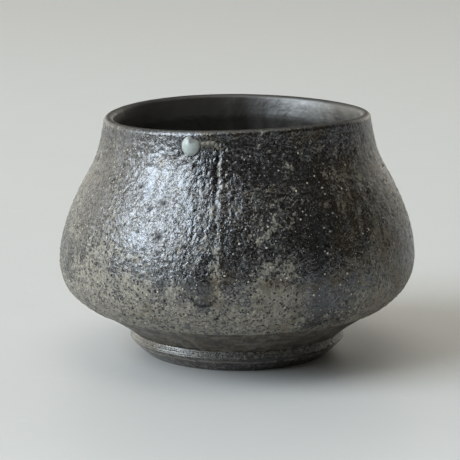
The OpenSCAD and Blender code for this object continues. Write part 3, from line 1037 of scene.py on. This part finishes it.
class TEABOWL_OT_clay_body(bpy.types.Operator):
    """Builds the bare clay: the band above the foot, the base, and the wall under the glazes"""
    bl_idname = "tea_bowl.clay_body"
    bl_label = "Clay Body"

    POINTS_ROUND = 320
    # Rows of points on the bare band, the covered outside, the lip and the inside, and on the base
    WALL_ROWS = (46, 40, 10, 48)
    BASE_ROWS = 36
    UNDER_GLAZE = 0.03 * MM

    def execute(self, context):
        bowl = bowl_sizes()
        relief = bowl_relief()
        form = Outline(bowl)
        theta = whole_turn(self.POINTS_ROUND)
        bare_end = form.low_edge + bowl.edge_w
        stops = (0.0, bare_end, form.lip, form.lip_end, form.total)
        place = steps_along(stops, self.WALL_ROWS)[:-1, None]
        mark = np.sin(place / MM * 9.0 + 0.6 * np.sin(theta + place / MM)) * np.sin(place / MM * 4.1 + 1.0)
        seen = held((form.low_edge - place) / bowl.edge_w) * held(place / bowl.edge_w)
        sunk = np.where(place > bare_end - 1e-9, -self.UNDER_GLAZE, 0.0)
        front = form.skin(place, theta, sunk - relief.trim_depth * (0.5 - 0.5 * mark) * seen)
        r = np.linspace(form.at(0.0)[0], 0.0, self.BASE_ROWS)[1:-1, None]
        spiral = 1 + np.sin(r / MM * 2.6 - theta) * held(r / (3 * MM))
        in_hollow = r < bowl.hollow_d / 2 - bowl.hollow_draft
        base = form.uneven(r, bowl.foot_h + relief.spiral_h * spiral * in_hollow, theta)
        poles = [[0.0, 0.0, bowl.foot_h + bowl.floor_t - self.UNDER_GLAZE], [0.0, 0.0, bowl.foot_h]]
        faces = shell_faces(len(place), len(r), len(theta), True)
        piece = new_piece("clay_body_surface", (front, base, poles), faces)
        piece.data.materials.append(bare_clay())
        hand_over(piece, "clay_body")
        return {"FINISHED"}


class TEABOWL_OT_foot_ring(bpy.types.Operator):
    """Builds the trimmed foot ring with its shoulder, heel and hollow"""
    bl_idname = "tea_bowl.foot_ring"
    bl_label = "Foot Ring"

    POINTS_ROUND = 360
    # Points of the section on the shoulder and the heel, the resting face, the hollow and the top
    ROUND_POINTS = 28
    REST_POINTS = 8
    HOLLOW_POINTS = 24
    TOP_POINTS = 6

    def execute(self, context):
        bowl = bowl_sizes()
        relief = bowl_relief()
        theta = whole_turn(self.POINTS_ROUND)
        section = self.section(bowl)
        r, z = section[:, :1], section[:, 1:]
        seen = held((bowl.foot_h - z) / (0.4 * MM)) * held(z / (0.5 * MM))
        line = np.sin(z / MM * 11.0 + 1.2 * np.sin(theta) + 0.5 * np.sin(3 * theta + 1.0))
        line = line * np.sin(z / MM * 3.7 + 0.4 * np.sin(2 * theta))
        dent = relief.foot_dent * (1 + np.sin(5 * theta + 0.7) * np.sin(2 * theta)) / 2
        outer = np.sign(r - bowl.hollow_d / 2 - MM)
        r = r - outer * seen * (relief.trim_depth * (1 + line) + dent)
        points = np.stack([r * np.cos(theta), r * np.sin(theta), z + 0 * r], axis=-1)
        rings = [row * len(theta) for row in range(len(section))]
        faces = []
        for low, high in zip(rings, rings[1:] + rings[:1]):
            faces += ring_quads(high, low, len(theta)).tolist()
        piece = new_piece("foot_ring_surface", (points,), faces)
        piece.data.materials.append(foot_slip())
        hand_over(piece, "foot_ring")
        return {"FINISHED"}

    def section(self, bowl):
        """The ring's section as a closed loop, from the crease down the outside and up the hollow."""
        widest_h = bowl.foot_h * (1 - bowl.shoulder_part)
        heel_w = (bowl.foot_d - bowl.rest_d) / 2
        turn = np.linspace(0.0, math.pi / 2, self.ROUND_POINTS)
        down, across = np.cos(turn).clip(0.0), np.sin(turn)
        power = 2 / bowl.shoulder_fullness
        shoulder = np.stack([bowl.foot_d / 2 - bowl.shoulder_w * (1 - across ** power),
                             widest_h + (bowl.foot_h - widest_h) * down ** power], axis=1)
        power = 2 / bowl.heel_fullness
        heel = np.stack([bowl.rest_d / 2 + heel_w * down ** power,
                         widest_h * (1 - across ** power)], axis=1)
        rest = np.linspace(heel[-1], [bowl.hollow_d / 2 + bowl.rest_bevel, 0.0], self.REST_POINTS)
        wall = np.linspace([bowl.hollow_d / 2, bowl.rest_bevel],
                           [bowl.hollow_d / 2 - bowl.hollow_draft, bowl.foot_h], self.HOLLOW_POINTS)
        top = np.linspace(wall[-1], shoulder[0], self.TOP_POINTS)
        return np.vstack([shoulder, heel[1:], rest[1:], wall, top[1:-1]])


class TEABOWL_OT_outer_glaze(bpy.types.Operator):
    """Builds the coarse outer glaze with its run, drips and relief, and scatters the quartz grit in it"""
    bl_idname = "tea_bowl.outer_glaze"
    bl_label = "Outer Glaze and Grit"

    # Half of the sector with closer points round the run, and the stretch with closer rows below the seam
    RUN_SECTOR = math.radians(9.0)
    SEAM_STRETCH = 5 * MM
    RUN_POINTS = 90
    OTHER_POINTS = 470
    # Rows of points on the rolled edge, the wall and the stretch below the seam, and on the back
    EDGE_ROWS = 7
    WALL_ROWS = (124, 21)
    BACK_ROWS = 12

    def execute(self, context):
        relief = bowl_relief()
        glaze = self.plain_glaze(bowl_sizes(), relief)
        piece = with_relief(glaze, relief)
        grit = grit_in(piece, relief)
        bpy.data.objects.remove(glaze)
        hand_over(piece, "outer_glaze")
        hand_over(grit, None)
        return {"FINISHED"}

    def plain_glaze(self, bowl, relief):
        """The coat with its run, drips, blisters and lumps of ash, but no grains or pits yet."""
        form = Outline(bowl)
        run = math.radians(FRONT) + bowl.run_turn
        near, far = run - self.RUN_SECTOR, run + self.RUN_SECTOR
        theta = np.concatenate([np.linspace(far, near + 2 * math.pi, self.OTHER_POINTS, endpoint=False),
                                np.linspace(near, far, self.RUN_POINTS, endpoint=False)])
        wave = relief.edge_wave * (0.5 * np.sin(5 * theta + 0.4) + 0.3 * np.sin(11 * theta + 2.0)
                                   + 0.2 * np.sin(23 * theta + 1.1))
        span = form.band_edge - form.low_edge
        edge_rows = bowl.edge_w * (1 - np.cos(np.linspace(0.0, math.pi / 2, self.EDGE_ROWS)))
        wall_rows = steps_along((bowl.edge_w, span - self.SEAM_STRETCH, span), self.WALL_ROWS)[1:]
        rows = np.concatenate([edge_rows, wall_rows])[:, None]
        up = held((rows - bowl.edge_w) / (span - bowl.edge_w))
        place = form.low_edge + rows + wave * (1 - up) + seam_wave(theta) * up
        r, z = form.at(place)[:2]
        groove, ridge = run_marks(theta, r, z)
        drip, drip_line = drip_marks(theta, r, z)
        blister = soft_marks(theta, r, z, BLISTERS)
        lump = soft_marks(theta, r, z, ASH_LUMPS)
        rise = rolled(rows, bowl.edge_w)
        meet = held(1 - (span - rows) / bowl.seam_w) ** 2
        lift = bowl.glaze_t - relief.sink + relief.run_ridge * ridge - relief.run_groove * groove
        lift = lift + relief.drip_h * drip + relief.blister_h * (lump - blister)
        lift = rise * (lift * (1 - meet) + bowl.seam_t * meet)
        back_place = np.linspace(form.low_edge, form.band_edge, self.BACK_ROWS)[1:-1, None]
        marks = {
            "cover": rise * (1 - meet),
            # Marks that the material darkens: painted shade in the groove, the shadow under the thread and
            # the blisters, and the lines below the drips
            "groove": np.maximum(np.maximum(groove, blister), 0.8 * drip_line),
            "ridge": ridge,
            "drip": drip,
            "edge": bell((rows - 0.35 * MM) / (0.4 * MM)),
            "ash": soft_marks(theta, r, z, ASH_PLACES) + 0.5 * lump,
            "rust": soft_marks(theta, r, z, RUST_PLACES) + 0.08 * lump,
        }
        return new_piece(
            "glaze_blank", (form.skin(place, theta, lift), form.skin(back_place, theta)),
            shell_faces(len(rows), len(back_place), len(theta), False),
            {key: values + 0 * theta for key, values in marks.items()})


class TEABOWL_OT_inner_glaze(bpy.types.Operator):
    """Builds the smooth inner glaze, from the floor over the lip to the lip band"""
    bl_idname = "tea_bowl.inner_glaze"
    bl_label = "Inner Glaze"

    POINTS_ROUND = 384
    # Rows of points on the lip band, the lip and the inside, and on the back
    FRONT_ROWS = (14, 30, 120)
    BACK_ROWS = 44
    # Half widths of the dull crest towards the outside and the inside, and where the grainy outside starts
    CREST_OUT = 0.65 * MM
    CREST_IN = 0.8 * MM
    GRAINY_FROM = 0.15 * MM
    GRAINY_FADE = 0.6 * MM

    def execute(self, context):
        bowl = bowl_sizes()
        relief = bowl_relief()
        form = Outline(bowl)
        theta = whole_turn(self.POINTS_ROUND)
        stops = (form.band_edge, form.lip, form.lip_end, form.total)
        rows = steps_along(stops, self.FRONT_ROWS)[:-1, None]
        place = rows + seam_wave(theta) * held((form.lip - rows) / (form.lip - form.band_edge))
        inside = place - form.lip_end
        ring = relief.throwing_h * np.sin(inside / MM * 1.5 + 0.5 * np.sin(theta))
        ring = ring * held(inside / (6 * MM)) * held((form.total - place) / (12 * MM))
        meet = held(1 - (rows - form.band_edge) / bowl.seam_w) ** 2
        lift = (bowl.lining_t + ring - relief.throwing_h) * (1 - meet) + bowl.seam_t * meet
        back_place = np.linspace(form.band_edge, form.total, self.BACK_ROWS)[1:-1, None]
        floor = bowl.foot_h + bowl.floor_t
        poles = [[0.0, 0.0, floor + bowl.lining_t - relief.throwing_h], [0.0, 0.0, floor]]
        crest = (form.lip + form.lip_end) / 2
        thin = bell((rows - crest) / np.where(rows < crest, self.CREST_OUT, self.CREST_IN))
        outside = held((crest - rows - self.GRAINY_FROM) / self.GRAINY_FADE)
        piece = new_piece(
            "inner_glaze_surface", (form.skin(place, theta, lift), form.skin(back_place, theta), poles),
            shell_faces(len(rows), len(back_place), len(theta), True),
            {"lip": thin + 0 * theta, "outside": outside + 0 * theta})
        piece.data.materials.append(smooth_glaze())
        hand_over(piece, "inner_glaze")
        return {"FINISHED"}


class TEABOWL_OT_glass_bead(bpy.types.Operator):
    """Builds the glass bead under the lip, and the thin thread that it drew out towards the run"""
    bl_idname = "tea_bowl.glass_bead"
    bl_label = "Glass Bead"

    def execute(self, context):
        form = Outline(bowl_sizes())
        lens, lens_faces, lapped = bead_lens(form)
        thread, thread_faces = bead_thread(form, len(lens))
        on_thread = np.concatenate([np.zeros(len(lens)), np.ones(len(thread))])
        piece = new_piece("glass_bead_surface", (lens, thread), lens_faces + thread_faces,
                          {"thread": on_thread, "lapped": lapped})
        piece.data.materials.append(bead_glass())
        hand_over(piece, "glass_bead")
        return {"FINISHED"}


# Stage

TABLE_HALF = 6.0
# Height of the point that the window light aims at
BOWL_MIDDLE = 35 * MM


def new_table():
    """A wide, flat table top."""
    corners = [(-TABLE_HALF, -TABLE_HALF, 0.0), (TABLE_HALF, -TABLE_HALF, 0.0),
               (TABLE_HALF, TABLE_HALF, 0.0), (-TABLE_HALF, TABLE_HALF, 0.0)]
    mesh = bpy.data.meshes.new("table")
    mesh.from_pydata(corners, [], [(0, 1, 2, 3)])
    mesh.materials.append(pale_table())
    return new_object("table", mesh)


def aimed(name, data, target, back, distance):
    """An object at a distance from a target, facing it."""
    made = new_object(name, data)
    made.location = target + back * distance
    made.rotation_mode = "QUATERNION"
    made.rotation_quaternion = back.to_track_quat("Z", "Y")
    return made


def window_light():
    """The soft main light of a window to the left."""
    studio = studio_setup()
    light = bpy.data.lights.new("window", "AREA")
    light.shape = "RECTANGLE"
    light.size = studio.window_w
    light.size_y = studio.window_h
    light.energy = studio.window_power
    light.color = studio.window_tint
    turn, rise = -studio.window_turn, studio.window_rise
    back = Vector((math.sin(turn) * math.cos(rise), -math.cos(turn) * math.cos(rise), math.sin(rise)))
    aimed("window", light, Vector((0.0, 0.0, BOWL_MIDDLE)), back, studio.window_distance)


def room_light():
    """The room's warm light, from behind on the left and from overhead. The camera sees plain white."""
    world = bpy.data.worlds.new("room")
    bpy.context.scene.world = world
    world.use_nodes = True
    nodes = Nodes(world.node_tree)
    way = nodes.add("ShaderNodeTexCoord", "Generated")
    towards = nodes.add("ShaderNodeVectorMath", 1, {0: way, 1: (-0.53, 0.84, 0.1)}, operation="DOT_PRODUCT")
    high = nodes.add("ShaderNodeSeparateXYZ", 2, {0: way})
    behind = towards.spread(-0.1, 0.8, 0.01, 1.0) * high.spread(0.3, 0.8, 1.0, 0.0)
    level = behind + high.spread(0.8, 0.98, 0.05, 0.9)
    warm = level.blend((0.0, 0.0, 0.0), (1.0, 0.97, 0.87))
    seen = nodes.add("ShaderNodeLightPath", "Is Camera Ray")
    background = world.node_tree.nodes["Background"].inputs
    nodes.put(seen.blend(warm, (1.1, 1.1, 1.1)), background["Color"])
    nodes.put(studio_setup().room, background["Strength"])


def new_camera():
    """The camera at the photograph's viewing angle."""
    studio = studio_setup()
    data = bpy.data.cameras.new("camera")
    data.lens = studio.lens
    data.sensor_width = 36.0
    data.clip_start, data.clip_end = 0.01, 50.0
    back = Vector((0.0, -math.cos(studio.elevation), math.sin(studio.elevation)))
    return aimed("camera", data, Vector((studio.aim_x, 0.0, studio.aim_z)), back, studio.distance)


class TEABOWL_OT_stage(bpy.types.Operator):
    """Sets up the pale table, the soft window light, the room's light and the camera"""
    bl_idname = "tea_bowl.stage"
    bl_label = "Table, Light and Camera"

    def execute(self, context):
        bpy.context.scene.view_settings.view_transform = "Standard"
        table = new_table()
        window_light()
        room_light()
        bpy.context.scene.camera = new_camera()
        return {"FINISHED"}


STEPS = ("clay_body", "foot_ring", "outer_glaze", "inner_glaze", "glass_bead", "stage")


class TEABOWL_PT_sidebar(bpy.types.Panel):
    """Lists the steps that build the bowl's surfaces"""
    bl_label = "Tea Bowl"
    bl_space_type = "VIEW_3D"
    bl_region_type = "UI"
    bl_category = "Tea Bowl"

    def draw(self, context):
        for step in STEPS:
            self.layout.operator("tea_bowl." + step)


GROUPS = {"tea_bowl_sizes": BowlSizes, "tea_bowl_relief": BowlRelief, "tea_bowl_colours": BowlColours,
          "tea_bowl_studio": StudioSetup}
CLASSES = (*GROUPS.values(), TEABOWL_OT_clay_body, TEABOWL_OT_foot_ring, TEABOWL_OT_outer_glaze,
           TEABOWL_OT_inner_glaze, TEABOWL_OT_glass_bead, TEABOWL_OT_stage, TEABOWL_PT_sidebar)


def register():
    for cls in CLASSES:
        bpy.utils.register_class(cls)
    for name, group in GROUPS.items():
        setattr(bpy.types.Scene, name, bpy.props.PointerProperty(type=group))


def unregister():
    for name in GROUPS:
        delattr(bpy.types.Scene, name)
    for cls in reversed(CLASSES):
        bpy.utils.unregister_class(cls)


def main():
    """Builds every piece and the stage."""
    register()
    for step in STEPS:
        getattr(bpy.ops.tea_bowl, step)()


if __name__ == "__main__":
    main()
